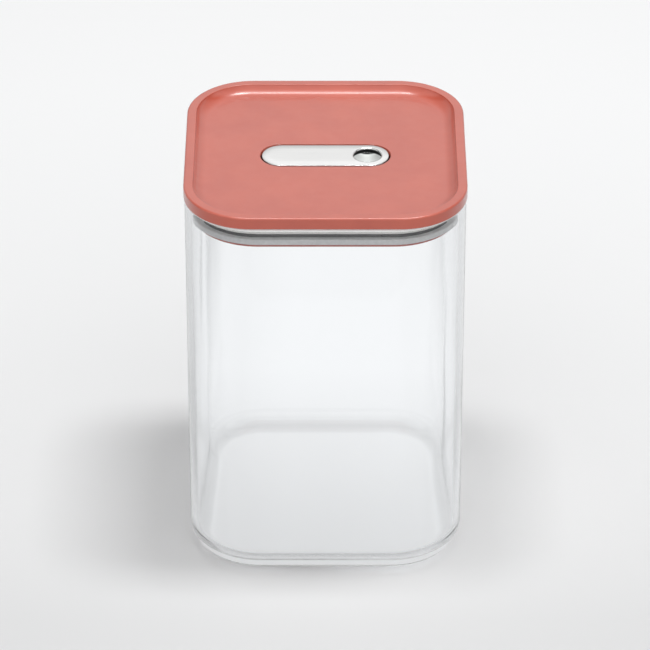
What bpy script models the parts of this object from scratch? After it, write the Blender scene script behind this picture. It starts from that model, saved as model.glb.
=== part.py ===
"""Square glass food canister with a dished plastic lid and a flip-up steel lever.

Metres, +Z up. The origin is the middle of the base, on the surface that the jar stands on.
The front of the canister faces -Y, and the lever's finger hole is on the +X side.
Raising the lever turns its heel down on a pad, which pushes the pressure plate away from the
frame and lets the silicone seal relax. Four springs pull the plate back up.
"""

import math

import bmesh
import bpy
from mathutils import Matrix

# Clearances shared by the whole canister
SEAT_GAP = 0.0003
SLIDE_GAP = 0.0004
CUT_OVERRUN = 0.0020
SAME_LEVEL = 0.00001

# Glass jar
JAR_WIDTH = 0.1114
JAR_HEIGHT = 0.1650
JAR_CORNER = 0.0290
JAR_WALL = 0.0030
MOUTH_CORNER = 0.0265
JAR_FLOOR = 0.0055
JAR_HEEL = 0.0110
JAR_INNER_HEEL = 0.0070
JAR_LIP_ROUND = 0.0008

# Lid cover
LID_WIDTH = 0.1120
LID_CORNER = 0.0268
LID_EDGE = 0.0050
LID_EDGE_ROUND = 0.0008
RIM_FLAT = 0.0037
DISH_DEPTH = 0.0036
COVE_WIDTH = 0.0050
COVER_FLOOR = 0.0018
MOUTH_GAP = 0.0008

# Plug below the cover: frame, seal and pressure plate
FLANGE_HEIGHT = 0.0030
SEAL_HEIGHT = 0.0046
SEAL_LIP = 0.0026
SEAL_SETBACK = 0.0022
SEAL_ROUND = 0.0006
NECK_SETBACK = 0.0062
NECK_WALL = 0.0018
WEB_THICKNESS = 0.0012
PLATE_LIFT = 0.0005
PLATE_THICKNESS = 0.0012
PLATE_GAP = 0.0016
PLATE_ROUND = 0.0004

# Lever
LEVER_LENGTH = 0.0506
LEVER_WIDTH = 0.0163
LEVER_PROUD = 0.0003
LEVER_GAP = 0.0005
LEVER_SKIN = 0.0009
LEVER_SKIN_ROUND = 0.0004
LEVER_CORE_HEIGHT = 0.0022
LEVER_CORE_INSET = 0.0003
PILL_END_FLAT = 0.0002
FINGER_HOLE_FROM_END = 0.0085
FINGER_HOLE_RADIUS = 0.0055
LEVER_RIVET_FROM_PIN = 0.0085
LEVER_RIVET_FROM_HOLE = 0.0110
LEVER_RIVET_RADIUS = 0.0007
LEVER_RIVET_HEAD = 0.0014
LEVER_RIVET_HEAD_HEIGHT = 0.0006

# Hinge
PIN_FROM_END = 0.0082
PIN_BELOW_TOP = 0.0031
PIN_RADIUS = 0.0009
BARREL_RADIUS = 0.0017
BARREL_WIDTH = 0.0130

# Lever pocket and finger well
POCKET_WALL = 0.0012
POCKET_FLOOR = 0.0011
HEEL_SLOT_BEHIND = 0.0024
WELL_RADIUS = 0.0074
WELL_LIP = 0.0005
WELL_DEPTH = 0.0022
WELL_FOOT = 0.0058
WELL_STEPS = 8
CORE_TO_WELL = 0.0008

# Pad that the lever's heel pushes
PAD_HEIGHT = 0.0007
PAD_AHEAD = 0.0042
PAD_BEHIND = 0.0010
PAD_WIDTH = 0.0110

# Spring posts on the plate
POST_FROM_TRAY_WALL = 0.0142
POST_FROM_POCKET = 0.0085
POST_RADIUS = 0.0018
POST_SCREW_HEAD = 0.0034
POST_SCREW_HEAD_HEIGHT = 0.0011
POST_SCREW_RADIUS = 0.0007
POST_SCREW_DEPTH = 0.0030
POST_SCREW_TOP_GAP = 0.0006
SPRING_RADIUS = 0.0028
SPRING_WIRE_RADIUS = 0.0002
SPRING_TURNS = 4
SPRING_POINTS_A_TURN = 10

# Screws that hold the frame to the cover
COVER_SCREW_FROM_TRAY_WALL = 0.0092
COVER_SCREW_RADIUS = 0.0008
COVER_SCREW_HEAD = 0.0022
COVER_SCREW_HEAD_HEIGHT = 0.0014
COVER_SCREW_GRIP = 0.0049
COVER_BOSS_RADIUS = 0.0030
FRAME_BOSS_RADIUS = 0.0036
FRAME_BOSS_HEIGHT = 0.0022
SCREW_RECESS = 0.0020

# Smoothness of the rounded forms
CORNER_STEPS = 10
HEEL_STEPS = 8
COVE_STEPS = 6
EDGE_STEPS = 3
ROUND_SIDES = 32
SMALL_ROUND_SIDES = 16

# Half widths and levels that follow from the sizes above
JAR_HALF = JAR_WIDTH / 2
MOUTH_HALF = JAR_HALF - JAR_WALL
LID_HALF = LID_WIDTH / 2
LID_BASE = JAR_HEIGHT + SEAT_GAP
LID_TOP = LID_BASE + LID_EDGE
DISH_FLOOR = LID_TOP - DISH_DEPTH
COVER_UNDERSIDE = DISH_FLOOR - COVER_FLOOR
FLANGE_HALF = MOUTH_HALF - MOUTH_GAP
FLANGE_TOP = COVER_UNDERSIDE - SEAT_GAP
FLANGE_BASE = FLANGE_TOP - FLANGE_HEIGHT
SEAL_TOP = FLANGE_BASE - SEAT_GAP
SEAL_BASE = SEAL_TOP - SEAL_HEIGHT
SEAL_HALF = MOUTH_HALF - SEAT_GAP
NECK_HALF = MOUTH_HALF - NECK_SETBACK
PLATE_TOP = SEAL_BASE - SEAT_GAP
PLATE_BASE = PLATE_TOP - PLATE_THICKNESS
PLATE_HALF = MOUTH_HALF - PLATE_GAP
TRAY_HALF = NECK_HALF - NECK_WALL
WEB_BASE = PLATE_TOP + PLATE_LIFT
WEB_TOP = WEB_BASE + WEB_THICKNESS
LEVER_TOP = DISH_FLOOR + LEVER_PROUD
LEVER_SKIN_BASE = LEVER_TOP - LEVER_SKIN
LEVER_CORE_TOP = LEVER_SKIN_BASE - SEAT_GAP
LEVER_CORE_BASE = LEVER_CORE_TOP - LEVER_CORE_HEIGHT
PIN_X = PIN_FROM_END - LEVER_LENGTH / 2
PIN_Z = LEVER_TOP - PIN_BELOW_TOP
FINGER_HOLE_X = LEVER_LENGTH / 2 - FINGER_HOLE_FROM_END
OPENING_LENGTH = LEVER_LENGTH + 2 * LEVER_GAP
OPENING_WIDTH = LEVER_WIDTH + 2 * LEVER_GAP
POCKET_TOP = COVER_UNDERSIDE - SEAT_GAP
POCKET_BASE = WEB_TOP + SEAT_GAP
POCKET_LEVEL = POCKET_BASE + POCKET_FLOOR
WELL_TOP = LEVER_SKIN_BASE - SEAT_GAP
HEEL_REACH = PIN_FROM_END + LEVER_GAP
POST_X = TRAY_HALF - POST_FROM_TRAY_WALL
POST_Y = OPENING_WIDTH / 2 + POCKET_WALL + POST_FROM_POCKET
COVER_SCREW_PLACE = TRAY_HALF - COVER_SCREW_FROM_TRAY_WALL
POST_SCREW_TOP = COVER_UNDERSIDE - POST_SCREW_TOP_GAP
POST_SCREW_SHOULDER = POST_SCREW_TOP - POST_SCREW_HEAD_HEIGHT
POST_TOP = POST_SCREW_SHOULDER - SEAT_GAP
FRAME_BOSS_TOP = WEB_TOP + FRAME_BOSS_HEIGHT
COVER_BOSS_BASE = FRAME_BOSS_TOP + SEAT_GAP
RECESS_TOP = WEB_BASE + SCREW_RECESS
CORNERS = ((1, 1), (-1, 1), (-1, -1), (1, -1))

# Colours as Principled BSDF values: colour, metallic, roughness
FINISHES = {
    "clear_glass": ((0.90, 0.93, 0.95), 0.0, 0.03),
    "coral_plastic": ((0.68, 0.27, 0.21), 0.0, 0.42),
    "polished_steel": ((0.78, 0.78, 0.79), 1.0, 0.12),
    "spring_steel": ((0.62, 0.62, 0.63), 1.0, 0.30),
    "grey_silicone": ((0.38, 0.38, 0.38), 0.0, 0.55),
    "pale_plastic": ((0.80, 0.80, 0.79), 0.0, 0.40),
    "dark_plastic": ((0.05, 0.05, 0.055), 0.0, 0.50),
}

for old in list(bpy.data.objects):
    bpy.data.objects.remove(old, do_unlink=True)

canister = bpy.data.collections.new("food_canister")
cutters = bpy.data.collections.new("cutters")
bpy.context.scene.collection.children.link(canister)
bpy.context.scene.collection.children.link(cutters)


def make_material(name):
    """One Principled BSDF material from the table of finishes."""
    colour, metallic, roughness = FINISHES[name]
    material = bpy.data.materials.new(name)
    material.use_nodes = True
    shader = material.node_tree.nodes["Principled BSDF"]
    shader.inputs["Base Color"].default_value = (*colour, 1.0)
    shader.inputs["Metallic"].default_value = metallic
    shader.inputs["Roughness"].default_value = roughness
    return material


MATERIALS = {name: make_material(name) for name in FINISHES}


def add_object(name, data):
    """Links a new object to the canister's collection."""
    piece = bpy.data.objects.new(name, data)
    canister.objects.link(piece)
    return piece


def mesh_object(name, bm, smooth=True):
    """Turns a bmesh into an object, shaded smooth apart from its sharp edges."""
    mesh = bpy.data.meshes.new(name)
    bm.to_mesh(mesh)
    bm.free()
    if smooth:
        mesh.shade_smooth()
        mesh.set_sharp_from_angle(angle=math.radians(35))
    return add_object(name, mesh)


def corner_at(half):
    """Corner radius of an outline inside the jar, concentric with the jar's mouth."""
    return MOUTH_CORNER - (MOUTH_HALF - half)


def level_edges(bm, level):
    """The edges that lie flat at one height."""
    return [
        edge
        for edge in bm.edges
        if all(abs(vert.co.z - level) < SAME_LEVEL for vert in edge.verts)
    ]


def upright_edges(bm):
    """The edges that stand straight up."""
    return [
        edge
        for edge in bm.edges
        if (edge.verts[0].co.xy - edge.verts[1].co.xy).length < SAME_LEVEL
    ]


def round_edges(bm, edges, radius, steps):
    """Rounds the given edges with a bevel of that radius."""
    bmesh.ops.bevel(
        bm,
        geom=edges,
        offset=radius,
        offset_type="OFFSET",
        segments=steps,
        profile=0.5,
        affect="EDGES",
        clamp_overlap=False,
    )


def block(
    name,
    half_x,
    half_y,
    base,
    top,
    corner=0.0,
    base_round=0.0,
    top_round=0.0,
    x=0.0,
    round_steps=EDGE_STEPS,
):
    """Upright block with rounded corners, and with its lower or upper edges rounded."""
    bm = bmesh.new()
    bmesh.ops.create_cube(bm, size=1.0)
    bmesh.ops.scale(bm, vec=(2 * half_x, 2 * half_y, top - base), verts=bm.verts)
    bmesh.ops.translate(bm, vec=(x, 0.0, (base + top) / 2), verts=bm.verts)
    if corner:
        round_edges(bm, upright_edges(bm), corner, CORNER_STEPS)
    if base_round:
        round_edges(bm, level_edges(bm, base), base_round, round_steps)
    if top_round:
        round_edges(bm, level_edges(bm, top), top_round, round_steps)
    return mesh_object(name, bm)


def square_block(name, half, base, top, **rounds):
    """Block with the mouth's plan, drawn in or out to the given half width."""
    return block(name, half, half, base, top, corner=corner_at(half), **rounds)


def pill_block(name, length, width, base, top, **rounds):
    """Block with a pill's plan: straight sides and round ends."""
    corner = (width - PILL_END_FLAT) / 2
    return block(name, length / 2, width / 2, base, top, corner=corner, **rounds)


def turned(name, profile, x=0.0, y=0.0, ring=False, sides=ROUND_SIDES):
    """Turned piece: its profile of radius and height runs down the outer side."""
    bm = bmesh.new()
    verts = [bm.verts.new((radius, 0.0, height)) for radius, height in profile]
    for first, second in zip(verts, verts[1:]):
        bm.edges.new((first, second))
    if ring:
        bm.edges.new((verts[-1], verts[0]))
    piece = mesh_object(name, bm, smooth=False)
    piece.location = (x, y, 0.0)
    lathe = piece.modifiers.new("lathe", "SCREW")
    lathe.steps = sides
    lathe.render_steps = sides
    lathe.use_merge_vertices = True
    lathe.merge_threshold = SAME_LEVEL
    lathe.use_smooth_shade = True
    return piece


def peg(name, radius, base, top, x=0.0, y=0.0, sides=SMALL_ROUND_SIDES):
    """Plain upright cylinder."""
    profile = ((0.0, top), (radius, top), (radius, base), (0.0, base))
    return turned(name, profile, x=x, y=y, sides=sides)


def cross_rod(name, radius, length, x, z):
    """Cylinder that lies along Y, centred on the lid's middle line."""
    bm = bmesh.new()
    turn = Matrix.Translation((x, 0.0, z)) @ Matrix.Rotation(math.pi / 2, 4, "X")
    bmesh.ops.create_cone(
        bm,
        cap_ends=True,
        segments=ROUND_SIDES,
        radius1=radius,
        radius2=radius,
        depth=length,
        matrix=turn,
    )
    return mesh_object(name, bm)


def combine(piece, other, operation):
    """Cuts or joins one piece with another, which then stays as a guide."""
    other.hide_render = True
    other.display_type = "WIRE"
    canister.objects.unlink(other)
    cutters.objects.link(other)
    step = piece.modifiers.new(other.name, "BOOLEAN")
    step.operation = operation
    step.solver = "EXACT"
    step.object = other
    return piece


def cut(piece, cutter):
    """Takes the cutter's shape out of the piece."""
    return combine(piece, cutter, "DIFFERENCE")


def join(piece, addition):
    """Adds the other shape to the piece."""
    return combine(piece, addition, "UNION")


def finish(piece, material):
    """Gives the piece its material."""
    piece.data.materials.clear()
    piece.data.materials.append(MATERIALS[material])
    return piece


def axis_empty(name, location):
    """Empty on a joint's axis, which carries the pieces that move on it."""
    empty = add_object(name, None)
    empty.location = location
    return empty


def carry(empty, pieces):
    """Parents the pieces to the empty without moving them."""
    for piece in pieces:
        piece.parent = empty
        piece.matrix_parent_inverse = Matrix.Translation(-empty.location)


def make_jar():
    """Pressed square jar: rounded corners, a deep round heel and a thick floor."""
    jar = block(
        "glass_jar",
        JAR_HALF,
        JAR_HALF,
        0.0,
        JAR_HEIGHT,
        corner=JAR_CORNER,
        base_round=JAR_HEEL,
        top_round=JAR_LIP_ROUND,
        round_steps=HEEL_STEPS,
    )
    hollow = square_block(
        "jar_hollow",
        MOUTH_HALF,
        JAR_FLOOR,
        JAR_HEIGHT + CUT_OVERRUN,
        base_round=JAR_INNER_HEEL,
        round_steps=HEEL_STEPS,
    )
    return finish(cut(jar, hollow), "clear_glass")


def make_cover():
    """Dished cover: flat rim, concave cove, pill-shaped opening and four screw bosses."""
    cover = block(
        "lid_cover",
        LID_HALF,
        LID_HALF,
        LID_BASE,
        LID_TOP,
        corner=LID_CORNER,
        base_round=LID_EDGE_ROUND / 2,
        top_round=LID_EDGE_ROUND,
    )
    join(cover, square_block("cover_step", FLANGE_HALF, COVER_UNDERSIDE, LID_BASE + CUT_OVERRUN / 2))
    cove_radius = (COVE_WIDTH**2 + DISH_DEPTH**2) / (2 * DISH_DEPTH)
    dish_half = LID_HALF - RIM_FLAT - COVE_WIDTH + cove_radius
    dish = block(
        "dish_hollow",
        dish_half,
        dish_half,
        DISH_FLOOR,
        DISH_FLOOR + cove_radius + CUT_OVERRUN,
        corner=LID_CORNER - (LID_HALF - dish_half),
        base_round=cove_radius,
        round_steps=COVE_STEPS,
    )
    cut(cover, dish)
    opening = pill_block(
        "lever_opening",
        OPENING_LENGTH,
        OPENING_WIDTH,
        COVER_UNDERSIDE - CUT_OVERRUN,
        DISH_FLOOR + CUT_OVERRUN,
    )
    cut(cover, opening)
    for index, (side_x, side_y) in enumerate(CORNERS, 1):
        x = side_x * COVER_SCREW_PLACE
        y = side_y * COVER_SCREW_PLACE
        boss_top = DISH_FLOOR - COVER_FLOOR / 2
        join(cover, peg(f"cover_boss_{index}", COVER_BOSS_RADIUS, COVER_BOSS_BASE, boss_top, x, y))
        bore = COVER_SCREW_RADIUS + SEAT_GAP
        bore_top = RECESS_TOP + COVER_SCREW_GRIP
        bore_base = COVER_BOSS_BASE - CUT_OVERRUN
        cut(cover, peg(f"cover_bore_{index}", bore, bore_base, bore_top, x, y))
    return finish(cover, "coral_plastic")


def make_frame():
    """Tray under the cover: a flange above the seal, a neck inside it and a thin web."""
    frame = square_block("plug_frame", FLANGE_HALF, FLANGE_BASE, FLANGE_TOP)
    join(frame, square_block("frame_neck", NECK_HALF, WEB_BASE, FLANGE_BASE + FLANGE_HEIGHT / 2))
    cut(frame, square_block("frame_tray", TRAY_HALF, WEB_TOP, FLANGE_TOP + CUT_OVERRUN))
    slot_front = PIN_X - HEEL_REACH - SEAT_GAP
    slot_back = PIN_X + HEEL_SLOT_BEHIND + SEAT_GAP
    slot = block(
        "web_heel_slot",
        (slot_back - slot_front) / 2,
        OPENING_WIDTH / 2 + SEAT_GAP,
        WEB_BASE - CUT_OVERRUN,
        WEB_TOP + CUT_OVERRUN,
        x=(slot_back + slot_front) / 2,
    )
    cut(frame, slot)
    for index, (side_x, side_y) in enumerate(CORNERS, 1):
        x = side_x * COVER_SCREW_PLACE
        y = side_y * COVER_SCREW_PLACE
        boss_base = WEB_BASE + WEB_THICKNESS / 2
        join(frame, peg(f"frame_boss_{index}", FRAME_BOSS_RADIUS, boss_base, FRAME_BOSS_TOP, x, y))
        recess = COVER_SCREW_HEAD + SLIDE_GAP
        bore = COVER_SCREW_RADIUS + SEAT_GAP
        stepped = (
            (0.0, FRAME_BOSS_TOP + CUT_OVERRUN),
            (bore, FRAME_BOSS_TOP + CUT_OVERRUN),
            (bore, RECESS_TOP),
            (recess, RECESS_TOP),
            (recess, WEB_BASE - CUT_OVERRUN),
            (0.0, WEB_BASE - CUT_OVERRUN),
        )
        cut(frame, turned(f"screw_bore_{index}", stepped, x, y, sides=SMALL_ROUND_SIDES))
        hole = POST_RADIUS + SLIDE_GAP
        hole_base = WEB_BASE - CUT_OVERRUN
        hole_top = WEB_TOP + CUT_OVERRUN
        post_x = side_x * POST_X
        post_y = side_y * POST_Y
        cut(frame, peg(f"post_hole_{index}", hole, hole_base, hole_top, post_x, post_y))
    return finish(frame, "pale_plastic")


def make_seal():
    """Silicone ring round the neck: a tall soft lip below and a narrower stem above it."""
    lip_top = SEAL_BASE + SEAL_LIP
    seal = square_block(
        "silicone_seal",
        SEAL_HALF,
        SEAL_BASE,
        lip_top,
        base_round=SEAL_ROUND,
        top_round=SEAL_ROUND,
    )
    stem_half = SEAL_HALF - SEAL_SETBACK
    join(seal, square_block("seal_stem", stem_half, SEAL_BASE + SEAL_LIP / 2, SEAL_TOP))
    bore_half = NECK_HALF + SEAT_GAP
    bore_base = SEAL_BASE - CUT_OVERRUN
    cut(seal, square_block("seal_bore", bore_half, bore_base, SEAL_TOP + CUT_OVERRUN))
    return finish(seal, "grey_silicone")


def make_pocket():
    """Liner under the cover's opening, which holds the hinge pin in its side walls."""
    pocket = pill_block(
        "lever_pocket",
        OPENING_LENGTH + 2 * POCKET_WALL,
        OPENING_WIDTH + 2 * POCKET_WALL,
        POCKET_BASE,
        POCKET_TOP,
    )
    hollow = pill_block(
        "pocket_hollow", OPENING_LENGTH, OPENING_WIDTH, POCKET_LEVEL, POCKET_TOP + CUT_OVERRUN
    )
    cut(pocket, hollow)
    slot_front = PIN_X - HEEL_REACH
    slot_back = PIN_X + HEEL_SLOT_BEHIND
    slot = block(
        "pocket_heel_slot",
        (slot_back - slot_front) / 2,
        OPENING_WIDTH / 2 - SEAT_GAP,
        POCKET_BASE - CUT_OVERRUN,
        POCKET_LEVEL + CUT_OVERRUN,
        x=(slot_back + slot_front) / 2,
    )
    cut(pocket, slot)
    bore_length = OPENING_WIDTH + 2 * POCKET_WALL + 2 * CUT_OVERRUN
    cut(pocket, cross_rod("pin_bore", PIN_RADIUS + SEAT_GAP, bore_length, PIN_X, PIN_Z))
    return finish(pocket, "dark_plastic")


def make_finger_well():
    """Cup on the pocket's floor: its shallow round bowl lies just under the lever's hole."""
    foot = POCKET_LEVEL + SEAT_GAP
    bowl = WELL_RADIUS - WELL_LIP
    profile = []
    for step in range(WELL_STEPS):
        share = step / WELL_STEPS
        profile.append((bowl * share, WELL_TOP - WELL_DEPTH * (1 - share**2)))
    profile += [
        (bowl, WELL_TOP),
        (WELL_RADIUS, WELL_TOP),
        (WELL_RADIUS, WELL_TOP - WELL_LIP),
        (WELL_FOOT, WELL_TOP - WELL_DEPTH),
        (WELL_FOOT, foot),
        (0.0, foot),
    ]
    return finish(turned("finger_well", profile, x=FINGER_HOLE_X), "polished_steel")


def make_hinge_pin():
    """Straight pin through the pocket's two side walls."""
    length = OPENING_WIDTH + 2 * POCKET_WALL
    return finish(cross_rod("hinge_pin", PIN_RADIUS, length, PIN_X, PIN_Z), "spring_steel")


def make_cover_screws():
    """Screws that go up through the frame into the cover's bosses."""
    head_top = RECESS_TOP - SEAT_GAP
    head_base = head_top - COVER_SCREW_HEAD_HEIGHT
    tip = head_top + COVER_SCREW_GRIP
    profile = (
        (0.0, tip),
        (COVER_SCREW_RADIUS, tip - COVER_SCREW_RADIUS),
        (COVER_SCREW_RADIUS, head_top),
        (COVER_SCREW_HEAD, head_top),
        (COVER_SCREW_HEAD, head_base),
        (0.0, head_base),
    )
    screws = []
    for index, (side_x, side_y) in enumerate(CORNERS, 1):
        x = side_x * COVER_SCREW_PLACE
        y = side_y * COVER_SCREW_PLACE
        screw = turned(f"cover_screw_{index}", profile, x=x, y=y, sides=SMALL_ROUND_SIDES)
        screws.append(finish(screw, "spring_steel"))
    return screws


def make_plate():
    """Pressure plate that closes the plug, with four posts for the springs."""
    plate = square_block(
        "pressure_plate",
        PLATE_HALF,
        PLATE_BASE,
        PLATE_TOP,
        base_round=PLATE_ROUND,
        top_round=PLATE_ROUND,
    )
    post_base = PLATE_TOP - PLATE_THICKNESS / 2
    for index, (side_x, side_y) in enumerate(CORNERS, 1):
        x = side_x * POST_X
        y = side_y * POST_Y
        join(plate, peg(f"post_{index}", POST_RADIUS, post_base, POST_TOP, x, y))
        bore = POST_SCREW_RADIUS + SEAT_GAP
        bore_base = POST_SCREW_SHOULDER - POST_SCREW_DEPTH - SEAT_GAP
        bore_top = POST_TOP + CUT_OVERRUN
        cut(plate, peg(f"post_bore_{index}", bore, bore_base, bore_top, x, y))
    return finish(plate, "coral_plastic")


def make_pad():
    """Wear pad on the plate, under the lever's heel."""
    base = PLATE_TOP + SEAT_GAP
    front = PIN_X - PAD_AHEAD
    back = PIN_X + PAD_BEHIND
    half_x = (back - front) / 2
    half_y = PAD_WIDTH / 2
    pad = block("striker_pad", half_x, half_y, base, base + PAD_HEIGHT, x=(front + back) / 2)
    return finish(pad, "dark_plastic")


def make_post_screws():
    """Pan-head screws in the posts; the springs push up on their heads."""
    tip = POST_SCREW_SHOULDER - POST_SCREW_DEPTH
    profile = (
        (0.0, POST_SCREW_TOP),
        (POST_SCREW_HEAD, POST_SCREW_TOP),
        (POST_SCREW_HEAD, POST_SCREW_SHOULDER),
        (POST_SCREW_RADIUS, POST_SCREW_SHOULDER),
        (POST_SCREW_RADIUS, tip + POST_SCREW_RADIUS),
        (0.0, tip),
    )
    screws = []
    for index, (side_x, side_y) in enumerate(CORNERS, 1):
        x = side_x * POST_X
        y = side_y * POST_Y
        screw = turned(f"post_screw_{index}", profile, x=x, y=y, sides=SMALL_ROUND_SIDES)
        screws.append(finish(screw, "spring_steel"))
    return screws


def make_springs():
    """Compression springs between the frame's web and the heads of the post screws."""
    low = WEB_TOP + SEAT_GAP + SPRING_WIRE_RADIUS
    high = POST_SCREW_SHOULDER - SEAT_GAP - SPRING_WIRE_RADIUS
    count = SPRING_TURNS * SPRING_POINTS_A_TURN + 1
    springs = []
    for index, (side_x, side_y) in enumerate(CORNERS, 1):
        curve = bpy.data.curves.new(f"return_spring_{index}", "CURVE")
        curve.dimensions = "3D"
        curve.bevel_depth = SPRING_WIRE_RADIUS
        curve.bevel_resolution = 1
        curve.use_fill_caps = True
        wire = curve.splines.new("POLY")
        wire.points.add(count - 1)
        for step, point in enumerate(wire.points):
            turn = 2 * math.pi * step / SPRING_POINTS_A_TURN
            height = low + (high - low) * step / (count - 1)
            x = SPRING_RADIUS * math.cos(turn)
            y = SPRING_RADIUS * math.sin(turn)
            point.co = (x, y, height, 1.0)
        spring = add_object(f"return_spring_{index}", curve)
        spring.location = (side_x * POST_X, side_y * POST_Y, 0.0)
        springs.append(finish(spring, "spring_steel"))
    return springs


def make_lever():
    """Polished skin, plastic core with its hinge barrel, and two rivets."""
    skin = pill_block(
        "lever_plate",
        LEVER_LENGTH,
        LEVER_WIDTH,
        LEVER_SKIN_BASE,
        LEVER_TOP,
        top_round=LEVER_SKIN_ROUND,
    )
    hole_base = LEVER_SKIN_BASE - CUT_OVERRUN
    hole_top = LEVER_TOP + CUT_OVERRUN
    hole = peg("finger_hole", FINGER_HOLE_RADIUS, hole_base, hole_top, FINGER_HOLE_X, 0.0, ROUND_SIDES)
    finish(cut(skin, hole), "polished_steel")

    core = pill_block(
        "lever_core",
        LEVER_LENGTH - 2 * LEVER_CORE_INSET,
        LEVER_WIDTH - 2 * LEVER_CORE_INSET,
        LEVER_CORE_BASE,
        LEVER_CORE_TOP,
    )
    join(core, cross_rod("hinge_barrel", BARREL_RADIUS, BARREL_WIDTH, PIN_X, PIN_Z))
    bore_length = LEVER_WIDTH + CUT_OVERRUN
    cut(core, cross_rod("barrel_bore", PIN_RADIUS + SEAT_GAP, bore_length, PIN_X, PIN_Z))
    core_base = LEVER_CORE_BASE - CUT_OVERRUN
    core_top = LEVER_CORE_TOP + CUT_OVERRUN
    notch = WELL_RADIUS + CORE_TO_WELL
    cut(core, peg("well_notch", notch, core_base, core_top, FINGER_HOLE_X, 0.0, ROUND_SIDES))
    nose_start = FINGER_HOLE_X - notch / 2
    nose_end = LEVER_LENGTH / 2 + CUT_OVERRUN
    nose = block(
        "core_nose",
        (nose_end - nose_start) / 2,
        LEVER_WIDTH / 2 + CUT_OVERRUN,
        core_base - CUT_OVERRUN,
        core_top + CUT_OVERRUN,
        x=(nose_end + nose_start) / 2,
    )
    cut(core, nose)
    pieces = [skin, core]

    head_top = LEVER_CORE_BASE + LEVER_RIVET_HEAD_HEIGHT
    rivet_profile = (
        (0.0, LEVER_CORE_TOP),
        (LEVER_RIVET_RADIUS, LEVER_CORE_TOP),
        (LEVER_RIVET_RADIUS, head_top),
        (LEVER_RIVET_HEAD, head_top),
        (LEVER_RIVET_HEAD, LEVER_CORE_BASE),
        (0.0, LEVER_CORE_BASE),
    )
    rivet_places = (PIN_X + LEVER_RIVET_FROM_PIN, FINGER_HOLE_X - LEVER_RIVET_FROM_HOLE)
    for index, x in enumerate(rivet_places, 1):
        bore = LEVER_RIVET_RADIUS + SEAT_GAP
        cut(core, peg(f"rivet_bore_{index}", bore, core_base, core_top, x))
        recess = LEVER_RIVET_HEAD + SEAT_GAP
        recess_top = head_top + SEAT_GAP
        cut(core, peg(f"rivet_recess_{index}", recess, core_base, recess_top, x))
        rivet = turned(f"lever_rivet_{index}", rivet_profile, x=x, sides=SMALL_ROUND_SIDES)
        pieces.append(finish(rivet, "spring_steel"))
    finish(core, "dark_plastic")
    return pieces


lid_axis = axis_empty("lid_lift_axis", (0.0, 0.0, JAR_HEIGHT))
plate_axis = axis_empty("plate_travel_axis", (0.0, 0.0, PLATE_TOP))
hinge_axis = axis_empty("lever_hinge_axis", (PIN_X, 0.0, PIN_Z))

make_jar()
lid_pieces = [make_cover(), make_frame(), make_seal(), make_pocket(), make_finger_well()]
lid_pieces += [make_hinge_pin(), *make_cover_screws(), *make_springs()]
carry(lid_axis, lid_pieces)
carry(plate_axis, [make_plate(), make_pad(), *make_post_screws()])
carry(hinge_axis, make_lever())
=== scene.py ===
"""Square glass food canister with a coral lid and a steel lever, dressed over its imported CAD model.

Metres, +Z up, the front faces -Y. Every new surface is a stack of rings: an outline, such as a
rounded square, a pill or a circle, is carried along a profile of half widths and heights.
"""

import math

import bpy
import numpy as np
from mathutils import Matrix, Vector


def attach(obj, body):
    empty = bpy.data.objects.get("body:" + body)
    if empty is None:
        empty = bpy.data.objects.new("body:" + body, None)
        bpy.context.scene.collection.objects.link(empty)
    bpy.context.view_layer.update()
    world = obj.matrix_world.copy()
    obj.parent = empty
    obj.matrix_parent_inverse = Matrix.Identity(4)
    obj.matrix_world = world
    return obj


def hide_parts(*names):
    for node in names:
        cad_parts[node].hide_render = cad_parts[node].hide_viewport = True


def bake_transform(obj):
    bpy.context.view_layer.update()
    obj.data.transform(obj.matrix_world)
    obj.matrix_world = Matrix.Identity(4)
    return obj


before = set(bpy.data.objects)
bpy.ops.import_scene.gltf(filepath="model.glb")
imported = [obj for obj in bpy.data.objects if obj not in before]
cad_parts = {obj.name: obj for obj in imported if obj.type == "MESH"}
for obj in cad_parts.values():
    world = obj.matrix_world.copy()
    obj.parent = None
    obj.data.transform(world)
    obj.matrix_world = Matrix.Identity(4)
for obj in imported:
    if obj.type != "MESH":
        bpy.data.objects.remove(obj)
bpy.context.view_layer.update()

scene = bpy.context.scene

# Levels and half widths of the canister, as the CAD model has them
JAR_HALF, JAR_CORNER, JAR_HEIGHT = 0.0557, 0.0290, 0.1650
MOUTH_HALF, MOUTH_CORNER = 0.0527, 0.0265
FLANGE_HALF, SEAL_HALF, SEAL_BORE, PLATE_HALF = 0.0519, 0.0524, 0.0468, 0.0511
LID_HALF, LID_CORNER = 0.0560, 0.0268
LID_BASE, LID_TOP, DISH_FLOOR, LID_UNDERSIDE = 0.1653, 0.1703, 0.1667, 0.1649
SEAL_TOP, SEAL_BASE = 0.1613, 0.1567
PLATE_TOP, PLATE_BASE = 0.1564, 0.1552
LEVER_LENGTH, LEVER_WIDTH, LEVER_TOP, LEVER_BASE = 0.0506, 0.0163, 0.1670, 0.1661
HOLE_X, HOLE_RADIUS = 0.0168, 0.0055
OPENING_LENGTH, OPENING_WIDTH = 0.0516, 0.0173
POST_PLACE, COVER_SCREW_PLACE = (0.0305, 0.01835), 0.0355
CORNER_SIGNS = np.array([(1, 1), (-1, 1), (-1, -1), (1, -1)])

# Tint of the pale floor and the silicone: a grey that is very slightly cool
COOL = (0.99, 0.995, 1.0)


# Outlines and ring stacks


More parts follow.
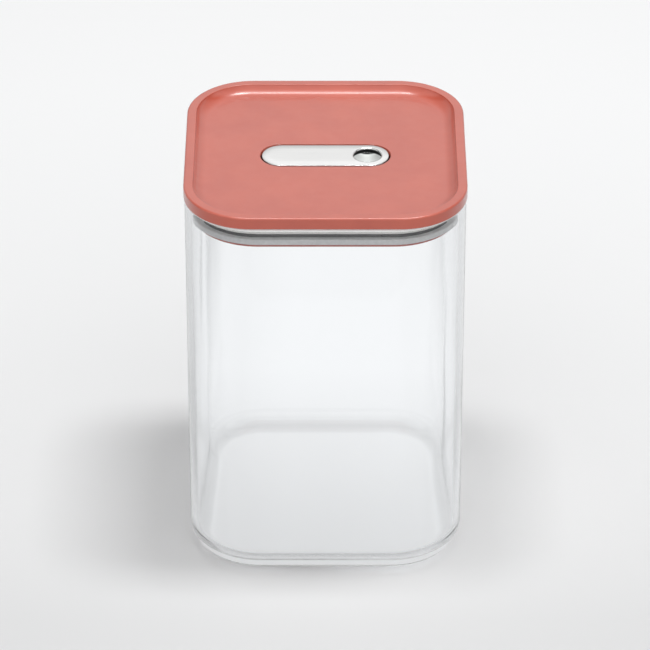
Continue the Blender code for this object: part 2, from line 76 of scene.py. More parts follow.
def outline_plan(arc_steps=20, side_steps=16):
    """Leans and facings of a rounded outline's points, counter-clockwise in four equal quarters.

    Along a side the lean slides from one corner to the next and the facing stays; round a corner
    the lean stays and the facing turns through a right angle.
    """
    slide = np.linspace(-1, 1, side_steps + 1)[1:-1]
    turn = np.linspace(0, math.pi / 2, arc_steps + 1)
    lean = np.concatenate([np.stack([np.ones_like(slide), slide], 1), np.ones((arc_steps + 1, 2))])
    facing = np.concatenate(
        [np.stack([np.ones_like(slide), 0 * slide], 1), np.stack([np.cos(turn), np.sin(turn)], 1)]
    )
    leans, facings = [], []
    for cosine, sine in ((1, 0), (0, 1), (-1, 0), (0, -1)):
        spin = np.array([[cosine, sine], [-sine, cosine]])
        leans.append(lean @ spin)
        facings.append(facing @ spin)
    return np.concatenate(leans), np.concatenate(facings)


LEAN, FACING = outline_plan()


def at_levels(plan, profile):
    """Rings from flat outlines, each lifted to its own height, the profile's second value."""
    level = np.broadcast_to(profile[:, 1, None, None], plan.shape[:2] + (1,))
    return np.concatenate([plan, level], 2)


def square_rings(profile, half=MOUTH_HALF, corner=MOUTH_CORNER):
    """Concentric rounded squares: the corner's centre times the lean, plus its radius times the
    facing. The radius grows and shrinks with the profile's half width."""
    profile = np.asarray(profile, float)
    radius = (corner + profile[:, 0] - half)[:, None, None]
    return at_levels((half - corner) * LEAN[None] + radius * FACING[None], profile)


def pill_rings(profile, length, width, end_flat=0.0002):
    """Concentric pills: straight sides and round ends, drawn in by the profile's first value."""
    profile = np.asarray(profile, float)
    corner = (width - end_flat) / 2
    centre = np.array([length / 2 - corner, width / 2 - corner])
    radius = (corner - profile[:, 0])[:, None, None]
    return at_levels(centre * LEAN[None] + radius * FACING[None], profile)


def round_rings(profile, x, y, sides):
    """Circles about an upright axis: the profile's radius times cosine and sine of the turn."""
    profile = np.asarray(profile, float)
    turn = np.arange(sides) * (2 * math.pi / sides)
    circle = np.stack([np.cos(turn), np.sin(turn)], 1)
    return at_levels(circle[None] * profile[:, 0, None, None] + (x, y), profile)


def shrunk(ring, shares):
    """Copies of a ring drawn in towards the upright axis by each share, at the ring's height."""
    return np.stack([ring * (share, share, 1) for share in shares])


def between(first, last, steps):
    """Rings that pass evenly from one ring to another, both left out."""
    share = (np.arange(1, steps) / steps)[:, None, None]
    return first[None] * (1 - share) + last[None] * share


def arc(centre_out, centre_up, radius, start, end, steps):
    """Round of a profile: its centre plus the radius times cosine and sine, in degrees."""
    turn = np.radians(np.linspace(start, end, steps + 1))
    return np.stack([centre_out + radius * np.cos(turn), centre_up + radius * np.sin(turn)], 1)


def surface(rings, closed=False):
    """Corners and faces of a ring stack: each face joins two neighbours on one ring to the two
    beside them on the next. It closes on itself, or ends in a fan about each end's middle."""
    rings = np.asarray(rings, float)
    count, around = rings.shape[:2]
    index = np.arange(count * around).reshape(count, around)
    lower = index if closed else index[:-1]
    upper = np.roll(index, -1, 0) if closed else index[1:]
    quads = np.stack([lower, np.roll(lower, -1, 1), np.roll(upper, -1, 1), upper], -1)
    points = rings.reshape(-1, 3)
    faces = quads.reshape(-1, 4).tolist()
    if not closed:
        foot, head = len(points), len(points) + 1
        points = np.concatenate([points, rings[0].mean(0)[None], rings[-1].mean(0)[None]])
        first, last = index[0], index[-1]
        around_foot = np.stack([np.full(around, foot), np.roll(first, -1), first], 1)
        around_head = np.stack([np.full(around, head), last, np.roll(last, -1)], 1)
        faces += around_foot.tolist() + around_head.tolist()
    return points, faces


def mesh_object(name, points, faces, materials):
    """New object in the scene from corners, faces and its materials."""
    mesh = bpy.data.meshes.new(name)
    mesh.from_pydata(np.asarray(points, float).tolist(), [], faces)
    for material in materials:
        mesh.materials.append(material)
    made = bpy.data.objects.new(name, mesh)
    scene.collection.objects.link(made)
    return made


def piece(name, surfaces, materials, body, node, picks=None):
    """One smooth object from one or more surfaces, which stands for a CAD node. It rides on its
    body, or on none if no body is given. The picks, if given, are each face's place
    in the list of materials."""
    points, faces, start = [], [], 0
    for some_points, some_faces in surfaces:
        points.append(some_points)
        faces += [[corner + start for corner in face] for face in some_faces]
        start += len(some_points)
    made = mesh_object(name, np.concatenate(points), faces, materials)
    if picks is not None:
        made.data.polygons.foreach_set("material_index", picks)
    made.data.shade_smooth()
    made.data.update()
    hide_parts(node)
    if body:
        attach(made, body)
    return made


# Materials


def shader_of(name, colour, roughness, metallic=0.0):
    """New node material: its node tree, its main shader, and object coordinates."""
    material = bpy.data.materials.new(name)
    material.use_nodes = True
    tree = material.node_tree
    shader = tree.nodes["Principled BSDF"]
    shader.inputs["Base Color"].default_value = (*colour, 1)
    shader.inputs["Roughness"].default_value = roughness
    shader.inputs["Metallic"].default_value = metallic
    place = tree.nodes.new("ShaderNodeTexCoord").outputs["Object"]
    return material, tree, shader, place


def mottle(tree, place, scale, detail=3.0, stretch=(1, 1, 1)):
    """Soft cloudy noise, about one cloud for each 1/scale metres, stretched along the axes."""
    mapping = tree.nodes.new("ShaderNodeMapping")
    mapping.inputs["Scale"].default_value = stretch
    noise = tree.nodes.new("ShaderNodeTexNoise")
    noise.inputs["Scale"].default_value = scale
    noise.inputs["Detail"].default_value = detail
    tree.links.new(place, mapping.inputs["Vector"])
    tree.links.new(mapping.outputs["Vector"], noise.inputs["Vector"])
    return noise.outputs["Fac"]


def spread(tree, value, low, high, from_low=0.3, from_high=0.7):
    """Stretches one range of a value to another, clipped. The first is a pattern's middle, if
    none is given."""
    node = tree.nodes.new("ShaderNodeMapRange")
    node.inputs["From Min"].default_value = from_low
    node.inputs["From Max"].default_value = from_high
    node.inputs["To Min"].default_value = low
    node.inputs["To Max"].default_value = high
    tree.links.new(value, node.inputs["Value"])
    return node.outputs["Result"]


def tones(tree, value, stops):
    """Colours along a pattern, from place and colour stops."""
    ramp = tree.nodes.new("ShaderNodeValToRGB")
    elements = ramp.color_ramp.elements
    while len(elements) < len(stops):
        elements.new(0.5)
    for element, (place, colour) in zip(elements, stops):
        element.position = place
        element.color = (*colour, 1)
    tree.links.new(value, ramp.inputs["Fac"])
    return ramp.outputs["Color"]


def greys(tree, value, stops, tint=(1.0, 1.0, 1.0)):
    """Grey tones along a value: each stop is a place on it and the grey there, times the tint.

    The value's range, from the first stop to the last, is stretched to 0 to 1 for the ramp.
    """
    low, high = stops[0][0], stops[-1][0]
    share = spread(tree, value, 0.0, 1.0, low, high)
    stops = [
        ((place - low) / (high - low), tuple(grey * part for part in tint)) for place, grey in stops
    ]
    return tones(tree, share, stops)


def joined(tree, kind, operation, values):
    """One node that works out a sum, product or length of values, each a link or three numbers."""
    node = tree.nodes.new(kind)
    node.operation = operation
    for value, socket in zip(values, node.inputs):
        if isinstance(value, tuple):
            socket.default_value = value
        else:
            tree.links.new(value, socket)
    return node


def number(tree, operation, *values):
    """A single number worked out from numbers."""
    return joined(tree, "ShaderNodeMath", operation, values).outputs["Value"]


def vector(tree, operation, *values):
    """Three numbers worked out from threes, such as a place in space or a colour."""
    return joined(tree, "ShaderNodeVectorMath", operation, values).outputs["Vector"]


def length_of(tree, value):
    """Length of a vector."""
    return joined(tree, "ShaderNodeVectorMath", "LENGTH", [value]).outputs["Value"]


def axes_of(tree, place):
    """The X, Y and Z of a place, one at a time."""
    node = tree.nodes.new("ShaderNodeSeparateXYZ")
    tree.links.new(place, node.inputs["Vector"])
    return node.outputs


def mixed(tree, share, first, second):
    """Mixes two shaders: the share is how much of the second shows."""
    mix = tree.nodes.new("ShaderNodeMixShader")
    tree.links.new(share, mix.inputs["Fac"])
    tree.links.new(first, mix.inputs[1])
    tree.links.new(second, mix.inputs[2])
    return mix.outputs["Shader"]


def grain(tree, shader, height, strength, depth):
    """Raises the surface's grain by a pattern: depth in metres at full strength."""
    bump = tree.nodes.new("ShaderNodeBump")
    bump.inputs["Strength"].default_value = strength
    bump.inputs["Distance"].default_value = depth
    tree.links.new(height, bump.inputs["Height"])
    tree.links.new(bump.outputs["Normal"], shader.inputs["Normal"])


def pressed_glass():
    """Clear pressed glass with slow waves in its surface, and a ground rim that looks milky.

    Light on its way to a lamp passes straight through with a slight loss, so the shadow is pale.
    """
    material, tree, shader, place = shader_of("clear_glass", (0.995, 0.998, 1.0), 0.0)
    shader.inputs["IOR"].default_value = 1.47
    waves = mottle(tree, place, 30.0, 1.0, (1.0, 1.0, 0.3))
    grain(tree, shader, waves, 0.20, 0.0005)
    rim_start, rim_full = JAR_HEIGHT - 0.0012, JAR_HEIGHT - 0.0007
    rim = spread(tree, axes_of(tree, place)["Z"], 0.0, 1.0, rim_start, rim_full)
    ground = spread(tree, mottle(tree, place, 900.0, 3.0), 0.45, 0.65)
    rub = number(tree, "MULTIPLY", rim, ground)
    tree.links.new(rub, shader.inputs["Roughness"])
    tree.links.new(spread(tree, rub, 1.0, 0.3, 0.0, 0.6), shader.inputs["Transmission Weight"])
    clear = tree.nodes.new("ShaderNodeBsdfTransparent")
    clear.inputs["Color"].default_value = (0.80, 0.81, 0.815, 1)
    shadow = tree.nodes.new("ShaderNodeLightPath").outputs["Is Shadow Ray"]
    seen = mixed(tree, shadow, shader.outputs["BSDF"], clear.outputs["BSDF"])
    tree.links.new(seen, tree.nodes["Material Output"].inputs["Surface"])
    return material


def satin_plastic(name, dark, light, roughness, grain_depth, coat=0.0):
    """Moulded plastic: cloudy colour, a fine satin grain and a faint change of gloss."""
    material, tree, shader, place = shader_of(name, light, roughness)
    cloud = mottle(tree, place, 55.0, 4.0)
    tree.links.new(tones(tree, cloud, [(0.35, dark), (0.65, light)]), shader.inputs["Base Color"])
    gloss = spread(tree, mottle(tree, place, 260.0, 3.0), roughness - 0.03, roughness + 0.04)
    tree.links.new(gloss, shader.inputs["Roughness"])
    grain(tree, shader, mottle(tree, place, 3200.0, 2.0), 0.30, grain_depth)
    shader.inputs["Coat Weight"].default_value = coat
    shader.inputs["Coat Roughness"].default_value = 0.22
    return material


def steel(name, colour, roughness, streak=(1.0, 1.0, 1.0), depth=0.00001):
    """Steel with fine polishing marks drawn out along one axis and clouds in its gloss."""
    material, tree, shader, place = shader_of(name, colour, roughness, 1.0)
    marks = mottle(tree, place, 900.0, 3.0, streak)
    gloss = spread(tree, mottle(tree, place, 90.0, 3.0), roughness * 0.8, roughness * 1.3)
    tree.links.new(gloss, shader.inputs["Roughness"])
    warm = tuple(part * 0.97 for part in colour)
    tree.links.new(tones(tree, marks, [(0.3, warm), (0.7, colour)]), shader.inputs["Base Color"])
    grain(tree, shader, marks, 0.12, depth)
    return material


def silicone(name, tone):
    """Silicone in a given grey: matt, with fine dust in its colour and its gloss."""
    material, tree, shader, place = shader_of(name, (tone, tone, tone), 0.5)
    dust = mottle(tree, place, 700.0, 4.0)
    colour = greys(tree, dust, [(0.35, tone * 0.93), (0.7, tone * 1.05)], COOL)
    tree.links.new(colour, shader.inputs["Base Color"])
    tree.links.new(spread(tree, dust, 0.42, 0.55), shader.inputs["Roughness"])
    grain(tree, shader, mottle(tree, place, 1800.0, 2.0), 0.3, 0.00002)
    return material


GLASS = pressed_glass()
CORAL = satin_plastic(
    "coral_plastic", (0.445, 0.074, 0.042), (0.485, 0.087, 0.050), 0.40, 0.00003, coat=1.0
)
STEEL = steel("polished_steel", (0.715, 0.715, 0.71), 0.14, (0.04, 1.0, 1.0))
BOWL_STEEL = steel("bowl_steel", (0.63, 0.65, 0.635), 0.06)
SPRING_STEEL = steel("spring_steel", (0.60, 0.60, 0.61), 0.26)
SILICONE = silicone("grey_silicone", 0.74)
# The seal's stem gets near-black silicone as painted shade for its recess under the flange
SHADE_PAINTED_STEM_SILICONE = silicone("stem_silicone_painted_shade", 0.056)
PALE = satin_plastic("pale_plastic", (0.77, 0.76, 0.73), (0.82, 0.815, 0.79), 0.38, 0.00003)
DARK = satin_plastic("dark_plastic", (0.016, 0.016, 0.018), (0.024, 0.024, 0.026), 0.45, 0.00003)


# The jar


def make_jar():
    """Closed shell of pressed glass: base, round heel, wall, round lip, inner wall and thick floor.

    The outer stack runs up, turns over the lip and runs down inside. The base is a little hollow,
    by a depth that falls off with the square of the way out. Slow waves move the inner wall by a
    few hundredths of a millimetre: a product of two sines of the turn and the height, plus a third
    sine, which fade out towards the lip.
    """
    floor, heel, inner_heel, lip = 0.0055, 0.0110, 0.0070, 0.0009
    lead, hollow, wave_height = 0.0012, 0.00008, 0.00002
    fade_start, fade_length = JAR_HEIGHT - 0.004, 0.02
    inside, lip_foot = MOUTH_HALF, JAR_HEIGHT - 2 * lip
    outer = np.concatenate(
        [
            [(JAR_HALF - heel - lead, 0.0)],
            arc(JAR_HALF - heel, heel, heel, -90, 0, 18),
            [(JAR_HALF, z) for z in np.linspace(0.016, lip_foot, 14)],
            arc(JAR_HALF - lip, JAR_HEIGHT - lip, lip, 0, 90, 6),
        ]
    )
    inner = np.concatenate(
        [
            arc(inside + lip, JAR_HEIGHT - lip, lip, 90, 180, 6),
            [(inside, z) for z in np.linspace(lip_foot, floor + inner_heel + 0.002, 24)],
            arc(inside - inner_heel, floor + inner_heel, inner_heel, 0, -90, 16),
            [(inside - inner_heel - lead, floor)],
        ]
    )
    outside = square_rings(outer, JAR_HALF, JAR_CORNER)
    within = square_rings(inner)
    turn = np.arctan2(FACING[:, 1], FACING[:, 0])[None]
    rise = within[:, :, 2]
    wave = np.sin(3 * turn + 40 * rise) * np.sin(90 * rise + 1.0)
    wave += 0.6 * np.sin(5 * turn - 120 * rise)
    fade = np.clip((fade_start - rise) / fade_length, 0, 1)
    within[:, :, :2] += (wave_height * wave * fade)[:, :, None] * FACING[None]
    base = shrunk(outside[0], [0.9])
    shares = np.array([0.3, 0.6, 0.8, 0.92])
    under = shrunk(base[0], shares)
    under[:, :, 2] += (hollow * (1 - shares**2))[:, None]
    over = shrunk(within[-1], [0.93, 0.8, 0.6, 0.3])
    rings = np.concatenate([under, base, outside, within, over])
    piece("jar", [surface(rings)], [GLASS], "jar", "glass_jar")


# The lid


def make_lid_cover():
    """Dished cover as one closed ring stack: underside, side, rim, cove, dish and lever opening.

    The cove is an arc that leaves the dish floor level and climbs to the rim. The dish passes
    evenly from the cove's square to the opening's pill, whose edge rolls under by a small round.
    """
    rim_flat, cove_width, depth = 0.0037, 0.0050, LID_TOP - DISH_FLOOR
    cove = (cove_width**2 + depth**2) / (2 * depth)
    cove_foot = LID_HALF - rim_flat - cove_width
    climb = math.degrees(math.asin(cove_width / cove))
    flange, edge, lower_edge, crisp, chamfer = FLANGE_HALF, 0.0008, 0.0004, 0.00025, 0.0001
    side = np.concatenate(
        [
            [(flange - 0.004, LID_UNDERSIDE), (flange - chamfer, LID_UNDERSIDE)],
            [(flange, LID_UNDERSIDE + chamfer), (flange, LID_BASE - chamfer)],
            [(flange + chamfer, LID_BASE), (LID_HALF - 0.001, LID_BASE)],
            arc(LID_HALF - lower_edge, LID_BASE + lower_edge, lower_edge, -90, 0, 5),
            [(LID_HALF, LID_BASE + 0.0012), (LID_HALF, LID_TOP - 0.0014)],
            arc(LID_HALF - edge, LID_TOP - edge, edge, 0, 90, 7),
            [(LID_HALF - 0.0013, LID_TOP), (LID_HALF - rim_flat + 0.0008, LID_TOP)],
            arc(LID_HALF - rim_flat + crisp * 0.6, LID_TOP - crisp, crisp, 90, 84 + climb, 5),
            arc(cove_foot, DISH_FLOOR + cove, cove, climb - 92.5, -90, 14),
            [(cove_foot - 0.0012, DISH_FLOOR)],
        ]
    )
    outside = square_rings(side, LID_HALF, LID_CORNER)
    roll = 0.0002
    opening = np.concatenate(
        [
            [(-3 * roll, DISH_FLOOR)],
            arc(-roll, DISH_FLOOR - roll, roll, 90, 180, 4),
            [(0, DISH_FLOOR - 0.0005), (0, LID_UNDERSIDE + roll), (-roll, LID_UNDERSIDE)],
        ]
    )
    wall = pill_rings(opening, OPENING_LENGTH, OPENING_WIDTH)
    dish = between(outside[-1], wall[0], 8)
    under = between(wall[-1], outside[0], 5)
    surfaces = [surface(np.concatenate([outside, dish, wall, under]), closed=True)]
    bore, boss, foot, head = 0.0011, 0.0030, 0.16065, 0.1652
    tube = [(bore, foot), (boss, foot), (boss, head), (bore, head)]
    for x, y in CORNER_SIGNS * COVER_SCREW_PLACE:
        surfaces.append(surface(round_rings(tube, x, y, 24), closed=True))
    piece("lid_top", surfaces, [CORAL], "lid", "lid_cover")


def make_seal():
    """Silicone ring: a tall pale lip below and a narrower stem above, one closed ring stack. The
    stem's near-black silicone is painted shade for its recess under the flange.
    """
    outer, bore, soft, lip, setback = SEAL_HALF, SEAL_BORE, 0.0006, 0.0026, 0.0022
    low, high, stem, lip_top = SEAL_BASE, SEAL_TOP, SEAL_HALF - setback, SEAL_BASE + lip
    lip_part = np.concatenate(
        [
            [(bore, low), (outer - soft - 0.001, low)],
            arc(outer - soft, low + soft, soft, -90, 0, 6),
            arc(outer - soft, lip_top - soft, soft, 0, 90, 6),
        ]
    )
    stem_part = [(stem + 0.0003, lip_top), (stem + 0.0001, lip_top + 0.0001)]
    stem_part += [(stem, lip_top + 0.0003), (stem, high - 0.0002), (stem - 0.0002, high)]
    bore_part = [(bore, high), (bore, (low + high) / 2)]
    rings = square_rings(np.concatenate([lip_part, stem_part, bore_part]))
    # The stem's rings take the second material, which is painted shade
    ring_picks = np.repeat([0, 1, 0], [len(lip_part), len(stem_part), len(bore_part)])
    picks = np.repeat(ring_picks, rings.shape[1])
    skin, made_of = surface(rings, closed=True), [SILICONE, SHADE_PAINTED_STEM_SILICONE]
    seal = piece("seal", [skin], made_of, None, "silicone_seal", picks)
    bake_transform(seal)


def make_plate():
    """Thin coral plate with a round edge, and four bored posts as turned tubes."""
    half, soft = PLATE_HALF, 0.0004
    profile = np.concatenate(
        [
            [(half - 0.002, PLATE_BASE)],
            arc(half - soft, PLATE_BASE + soft, soft, -90, 0, 5),
            arc(half - soft, PLATE_TOP - soft, soft, 0, 90, 5),
            [(half - 0.002, PLATE_TOP)],
        ]
    )
    edge = square_rings(profile)
    below = shrunk(edge[0], [0.3, 0.6, 0.85])
    above = shrunk(edge[-1], [0.85, 0.6, 0.3])
    surfaces = [surface(np.concatenate([below, edge, above]))]
    bore, post, bevel, foot, head = 0.0010, 0.0018, 0.0001, 0.1560, 0.1629
    tube = [(post, foot), (post, head - bevel), (post - bevel, head), (bore, head), (bore, foot)]
    for x, y in CORNER_SIGNS * POST_PLACE:
        surfaces.append(surface(round_rings(tube, x, y, 24), closed=True))
    piece("plate", surfaces, [CORAL], "plate", "pressure_plate")


def make_springs():
    """Four wire springs: a circle's tube swept up a helix, whose point turns as it rises.
    """
    wire, radius, turns, steps, sides, low, high = 0.0002, 0.0028, 4, 20, 8, 0.1586, 0.1627
    share = np.linspace(0, 1, turns * steps + 1)
    turn = 2 * math.pi * turns * share
    outward = np.stack([np.cos(turn), np.sin(turn), 0 * turn], 1)
    path = radius * outward + (low + (high - low) * share)[:, None] * (0, 0, 1)
    spin = -np.arange(sides) * (2 * math.pi / sides)
    upward = np.sin(spin)[:, None] * (0, 0, 1)
    ring = outward[:, None] * np.cos(spin)[None, :, None] + upward[None]
    for index, (x, y) in enumerate(CORNER_SIGNS * POST_PLACE, 1):
        coil = surface(path[:, None] + wire * ring + (x, y, 0))
        name, node = f"spring_{index}", f"return_spring_{index}"
        spring = piece(name, [coil], [SPRING_STEEL], None, node)
        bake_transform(spring)


def make_finger_well():
    """Turned cup on a foot: a shallow bowl, whose depth falls off with the square of the radius."""
    base, top, depth, bevel, soft = 0.1598, 0.1658, 0.0022, 0.0003, 0.0002
    bowl, rim, foot = 0.0069, 0.0074, 0.0058
    share = np.linspace(1, 0.04, 24)
    inner = np.stack([bowl * share, top - depth * (1 - share**2)], 1)
    outer = [(foot * 0.3, base), (foot - bevel, base), (foot, base + bevel), (foot, top - depth)]
    outer += [(rim, top - 3 * soft), (rim, top - soft), (rim - soft, top)]
    rings = round_rings(np.concatenate([outer, inner]), HOLE_X, 0.0, 72)
    piece("well", [surface(rings)], [BOWL_STEEL], "lid", "finger_well")


# The lever


def make_lever_skin():
    """Polished pill with a round finger hole: rings pass from the pill's edge to the hole's edge.

    Both outlines are read at the same turns about the hole, and each ring lies a share of the way
    from one to the other. The top falls off to the pill's edge along a wide quarter ellipse, and
    into the hole along a small one. The hole's wall and the underside have the dark plastic over
    part of the turn: painted shade, for the dark edge that shows in the hole.
    """
    length, width, top, base, hole = LEVER_LENGTH, LEVER_WIDTH, LEVER_TOP, LEVER_BASE, HOLE_RADIUS
    fall, roll, drop, lip, bevel = 0.00035, 0.0036, 0.0006, 0.0008, 0.0001
    painted_shade_from, painted_shade_to = math.radians(32), math.radians(162)
    middle = (length - width) / 2

    # The pill's outline, read at even turns about the hole and at a sixth of its own points
    dense = pill_rings([(0.0, 0.0)], length, width)[0, :, :2]
    steps = np.linspace(0, 1, 9, endpoint=False)[:, None, None]
    fine = (dense[None] * (1 - steps) + np.roll(dense, -1, 0)[None] * steps).transpose(1, 0, 2)
    fine = fine.reshape(-1, 2)
    turns = np.unwrap(np.arctan2(fine[:, 1], fine[:, 0] - HOLE_X))
    order = np.argsort(turns)
    turns, fine = turns[order], fine[order]
    even = turns[0] + np.arange(96) * (2 * math.pi / 96)
    spin = np.sort(np.concatenate([turns[::6], even]))
    spin = spin[np.concatenate([np.diff(spin) > 0.002, [True]])]
    turns = np.concatenate([turns - 2 * math.pi, turns, turns + 2 * math.pi])
    fine = np.concatenate([fine] * 3)
    edge = np.stack([np.interp(spin, turns, fine[:, 0]), np.interp(spin, turns, fine[:, 1])], 1)
    mouth = np.stack([HOLE_X + hole * np.cos(spin), hole * np.sin(spin)], 1)
    room = np.hypot(*(mouth - edge).T)

    def inward(reach):
        """Points a reach in from the pill's edge, on the way to the hole's edge."""
        return edge + (mouth - edge) * (reach / room)[:, None]

    def dip(share):
        """Quarter ellipse: the drop, as a share, where a share of its width is left to the edge."""
        return 1 - np.sqrt(1 - (1 - share) ** 2)

    def crown(reach):
        """Ring a reach in from the edge, at the crowned top's height."""
        plan = inward(reach)
        along = np.clip(plan[:, 0], -middle, middle)
        inset = width / 2 - np.hypot(plan[:, 0] - along, plan[:, 1])
        near = np.hypot(plan[:, 0] - HOLE_X, plan[:, 1]) - hole
        height = top - fall * dip(np.clip(inset, 0, roll) / roll)
        height -= drop * dip(np.clip(near, 0, lip) / lip)
        return np.concatenate([plan, height[:, None]], 1)

    def flat(reach, level):
        """Ring a reach in from the edge, at one level."""
        return np.concatenate([inward(reach), np.full((len(spin), 1), level)], 1)

    shoulder = np.minimum(roll, 0.6 * room)
    brow = room - lip * 1.1
    start = 0 * room
    rings = [flat(start + 0.0006, base), flat(start + bevel, base), flat(start, base + bevel)]
    rings += [crown(shoulder * (1 - math.sin(a))) for a in np.radians(np.linspace(90, 0, 20))]
    rings += [crown(shoulder + (brow - shoulder) * share) for share in np.linspace(0, 1, 9)[1:]]
    rings += [crown(room - lip * (1 - math.sin(a))) for a in np.radians(np.linspace(0, 90, 10))]
    wall_ring = len(rings) - 1
    rings += [flat(room, base + bevel), flat(room - bevel, base)]
    rings = np.array(rings)
    rings = np.concatenate([rings, between(rings[-1], rings[0], 6)])
    ring_of_face = np.repeat(np.arange(len(rings)), len(spin))
    turn_of_face = np.tile(spin % (2 * math.pi), len(rings))
    # The dark plastic on this part of the hole's wall and underside is painted shade
    painted_shade_faces = (turn_of_face >= painted_shade_from) & (turn_of_face <= painted_shade_to)
    picks = ((ring_of_face >= wall_ring) & painted_shade_faces).astype(int)
    skin = surface(rings, closed=True)
    made_of = [STEEL, DARK]
    piece("lever_skin", [skin], made_of, "lever", "lever_plate", picks)


# Floor, light and camera


def glow_under_glass(tree, place):
    """Light that the floor shows only to what looks at it through glass or by reflection.

    It is a product of three tones, all painted light: a pool that is dimmer towards the front, with a
    painted shade just in front of the jar, a strip that is bright behind the jar and dimmer to both
    sides, and a soft painted shade under the jar's heel. The shade goes by the distance outside the
    square through the centres of the jar's corners.
    """
    axes = axes_of(tree, place)
    # Painted light: the pool's dip just in front of the jar is painted shade
    pool = [(-0.30, 0.95), (-0.139, 0.72), (-0.1068, 0.48), (-0.0608, 0.48), (-0.047, 0.75)]
    pool += [(-0.0286, 0.775), (0.022, 0.86), (0.068, 0.94), (0.1048, 1.0)]
    strip = [(-0.6, 0.95), (-0.25, 0.66), (-0.14, 0.58), (-0.10, 0.58), (-0.08, 0.80)]
    strip += [(-0.062, 0.98), (-0.034, 0.965), (-0.015, 1.0), (0.062, 1.0), (0.08, 0.90)]
    strip += [(0.10, 0.70), (0.25, 0.72), (0.6, 0.95)]
    # Painted shade under the jar's heel, in place of its contact shadow
    heel = [(0.014, 1.0), (0.0214, 0.99), (0.0238, 0.90), (0.0285, 0.85), (0.0315, 0.90)]
    heel += [(0.040, 1.0)]
    inner = JAR_HALF - JAR_CORNER
    outside = vector(tree, "SUBTRACT", vector(tree, "ABSOLUTE", place), (inner, inner, 0.001))
    outside = length_of(tree, vector(tree, "MAXIMUM", outside, (0.0, 0.0, 0.0)))
    colour = vector(
        tree, "MULTIPLY", greys(tree, axes["Y"], pool, COOL), greys(tree, axes["X"], strip, COOL)
    )
    colour = vector(tree, "MULTIPLY", colour, greys(tree, outside, heel, COOL))
    glow = tree.nodes.new("ShaderNodeEmission")
    tree.links.new(colour, glow.inputs["Color"])
    return glow.outputs["Emission"]


def make_floor():
    """Pale floor whose tone rises from the front to the back, as painted light, and which keeps the
    shadow.

    Through glass, and a little in reflections, it glows instead. Seen directly it fades into a
    pale haze far away, so that it has no horizon. It lies a tenth of a millimetre above the
    jar's base, so that no air gap under the glass traps light.
    """
    reach, level = 8.0, 0.0001
    through_share, mirrored_share = 0.88, 0.30
    material, tree, shader, place = shader_of("floor_paper", (0.85, 0.85, 0.85), 0.9)
    shader.inputs["Specular IOR Level"].default_value = 0.0
    # The floor's tone rising towards the back is painted light
    painted_light_rise = [(-0.30, 0.70), (-0.08625, 0.735), (0.075, 0.87), (0.165, 0.91), (0.345, 0.965)]
    painted_light_rise += [(0.45, 0.98)]
    tone = greys(tree, axes_of(tree, place)["Y"], painted_light_rise, COOL)
    tree.links.new(tone, shader.inputs["Base Color"])
    path = tree.nodes.new("ShaderNodeLightPath").outputs
    through = spread(tree, path["Is Transmission Ray"], 0.0, through_share, 0.0, 1.0)
    mirrored = spread(tree, path["Is Glossy Ray"], 0.0, mirrored_share, 0.0, 1.0)
    share = number(tree, "MAXIMUM", through, mirrored)
    near = mixed(tree, share, shader.outputs["BSDF"], glow_under_glass(tree, place))
    haze = tree.nodes.new("ShaderNodeEmission")
    haze.inputs["Color"].default_value = (0.93, 0.935, 0.94, 1)
    far = spread(tree, length_of(tree, place), 0.0, 1.0, 0.50, 1.7)
    seen_far = number(tree, "MULTIPLY", far, path["Is Camera Ray"])
    seen = mixed(tree, seen_far, near, haze.outputs["Emission"])
    tree.links.new(seen, tree.nodes["Material Output"].inputs["Surface"])
    corners = [(-reach, -reach, level), (reach, -reach, level)]
    corners += [(reach, reach, level), (-reach, reach, level)]
    floor = mesh_object("floor", corners, [(0, 1, 2, 3)], [material])


def picked(tree, share, first, second):
    """One of two numbers, or a mix of them: the share is how much of the second shows."""
    mix = tree.nodes.new("ShaderNodeMix")
    for value, socket in zip((share, first, second), (mix.inputs[0], mix.inputs[2], mix.inputs[3])):
        if isinstance(value, float):
            socket.default_value = value
        else:
            tree.links.new(value, socket)
    return mix.outputs[0]


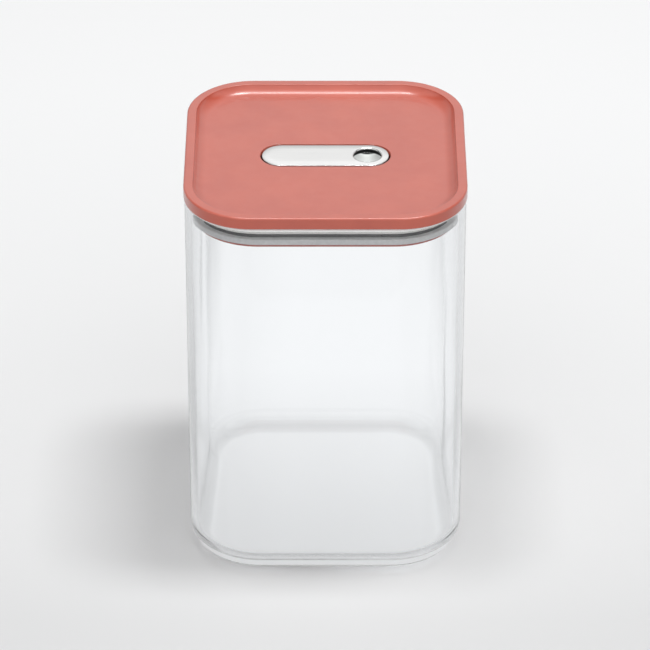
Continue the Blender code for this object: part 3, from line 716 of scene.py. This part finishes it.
def make_world():
    """Soft pale room: plain light for surfaces, and near white where glass looks out.

    The plain light is stronger from the front, and weakest from behind. Gloss sees a sky that
    changes with how far back it looks: a pale room in front, a bright band nearly overhead, a dark
    band behind that, an even sky behind and a greyer horizon. It is dimmer to both sides.
    """
    world = bpy.data.worlds.new("room")
    world.use_nodes = True
    scene.world = world
    tree = world.node_tree
    background = tree.nodes["Background"]
    axes = axes_of(tree, tree.nodes.new("ShaderNodeTexCoord").outputs["Generated"])
    sky = [(-1.0, 1.3), (-0.48, 1.3), (-0.36, 2.1), (-0.06, 2.1), (0.02, 0.04), (0.23, 0.04)]
    sky += [(0.29, 1.5), (0.5, 1.3), (0.855, 1.3), (0.88, 1.05), (0.93, 0.85), (1.0, 0.62)]
    left = spread(tree, axes["X"], 0.55, 1.0, -0.45, -0.05)
    right = spread(tree, axes["X"], 1.0, 0.60, 0.10, 0.60)
    sides = number(tree, "MULTIPLY", left, right)
    gloss = number(tree, "MULTIPLY", greys(tree, axes["Y"], sky), sides)
    path = tree.nodes.new("ShaderNodeLightPath").outputs
    clear = number(tree, "MAXIMUM", path["Is Transmission Ray"], path["Is Camera Ray"])
    plain = picked(tree, clear, spread(tree, axes["Y"], 1.65, 0.09, -1.0, 0.1), 0.95)
    strength = picked(tree, path["Is Glossy Ray"], plain, gloss)
    background.inputs["Color"].default_value = (1.0, 1.0, 1.0, 1)
    tree.links.new(strength, background.inputs["Strength"])


def soft_light(name, place, width, depth, power):
    """Large lamp, width from side to side by depth, that points at the middle of the canister."""
    lamp = bpy.data.lights.new(name, "AREA")
    lamp.shape = "RECTANGLE"
    lamp.size = depth
    lamp.size_y = width
    lamp.energy = power
    made = bpy.data.objects.new(name, lamp)
    scene.collection.objects.link(made)
    made.location = place
    away = made.location - Vector((0.0, 0.0, 0.08))
    made.rotation_euler = away.to_track_quat("Z", "Y").to_euler()


def make_camera():
    """Long lens from the front, pitched down 32 degrees, as the photograph was taken."""
    pitch = 0.5583
    lens = bpy.data.cameras.new("camera")
    lens.sensor_width = 36.0
    lens.lens = 232.88
    lens.clip_start = 0.1
    lens.clip_end = 50.0
    camera = bpy.data.objects.new("camera", lens)
    scene.collection.objects.link(camera)
    camera.location = (-0.00016, -1.4616, 0.9996)
    camera.rotation_euler = (math.pi / 2 - pitch, 0.0, 0.0)
    scene.camera = camera


make_jar()
make_lid_cover()
make_seal()
make_plate()
make_springs()
make_finger_well()
make_lever_skin()

for node, material in {
    "plug_frame": PALE,
    "lever_pocket": DARK,
    "lever_core": DARK,
    "striker_pad": DARK,
    "hinge_pin": SPRING_STEEL,
    "lever_rivet_1": SPRING_STEEL,
    "lever_rivet_2": SPRING_STEEL,
    **{f"cover_screw_{index}": SPRING_STEEL for index in range(1, 5)},
    **{f"post_screw_{index}": SPRING_STEEL for index in range(1, 5)},
}.items():
    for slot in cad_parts[node].material_slots:
        slot.material = material

make_floor()
make_world()
soft_light("right_key", (0.29, -0.03, 1.6), 0.44, 0.22, 10.2)
soft_light("left_key", (-0.19, -0.03, 1.6), 0.28, 0.22, 5.2)
make_camera()

scene.view_settings.view_transform = "Standard"
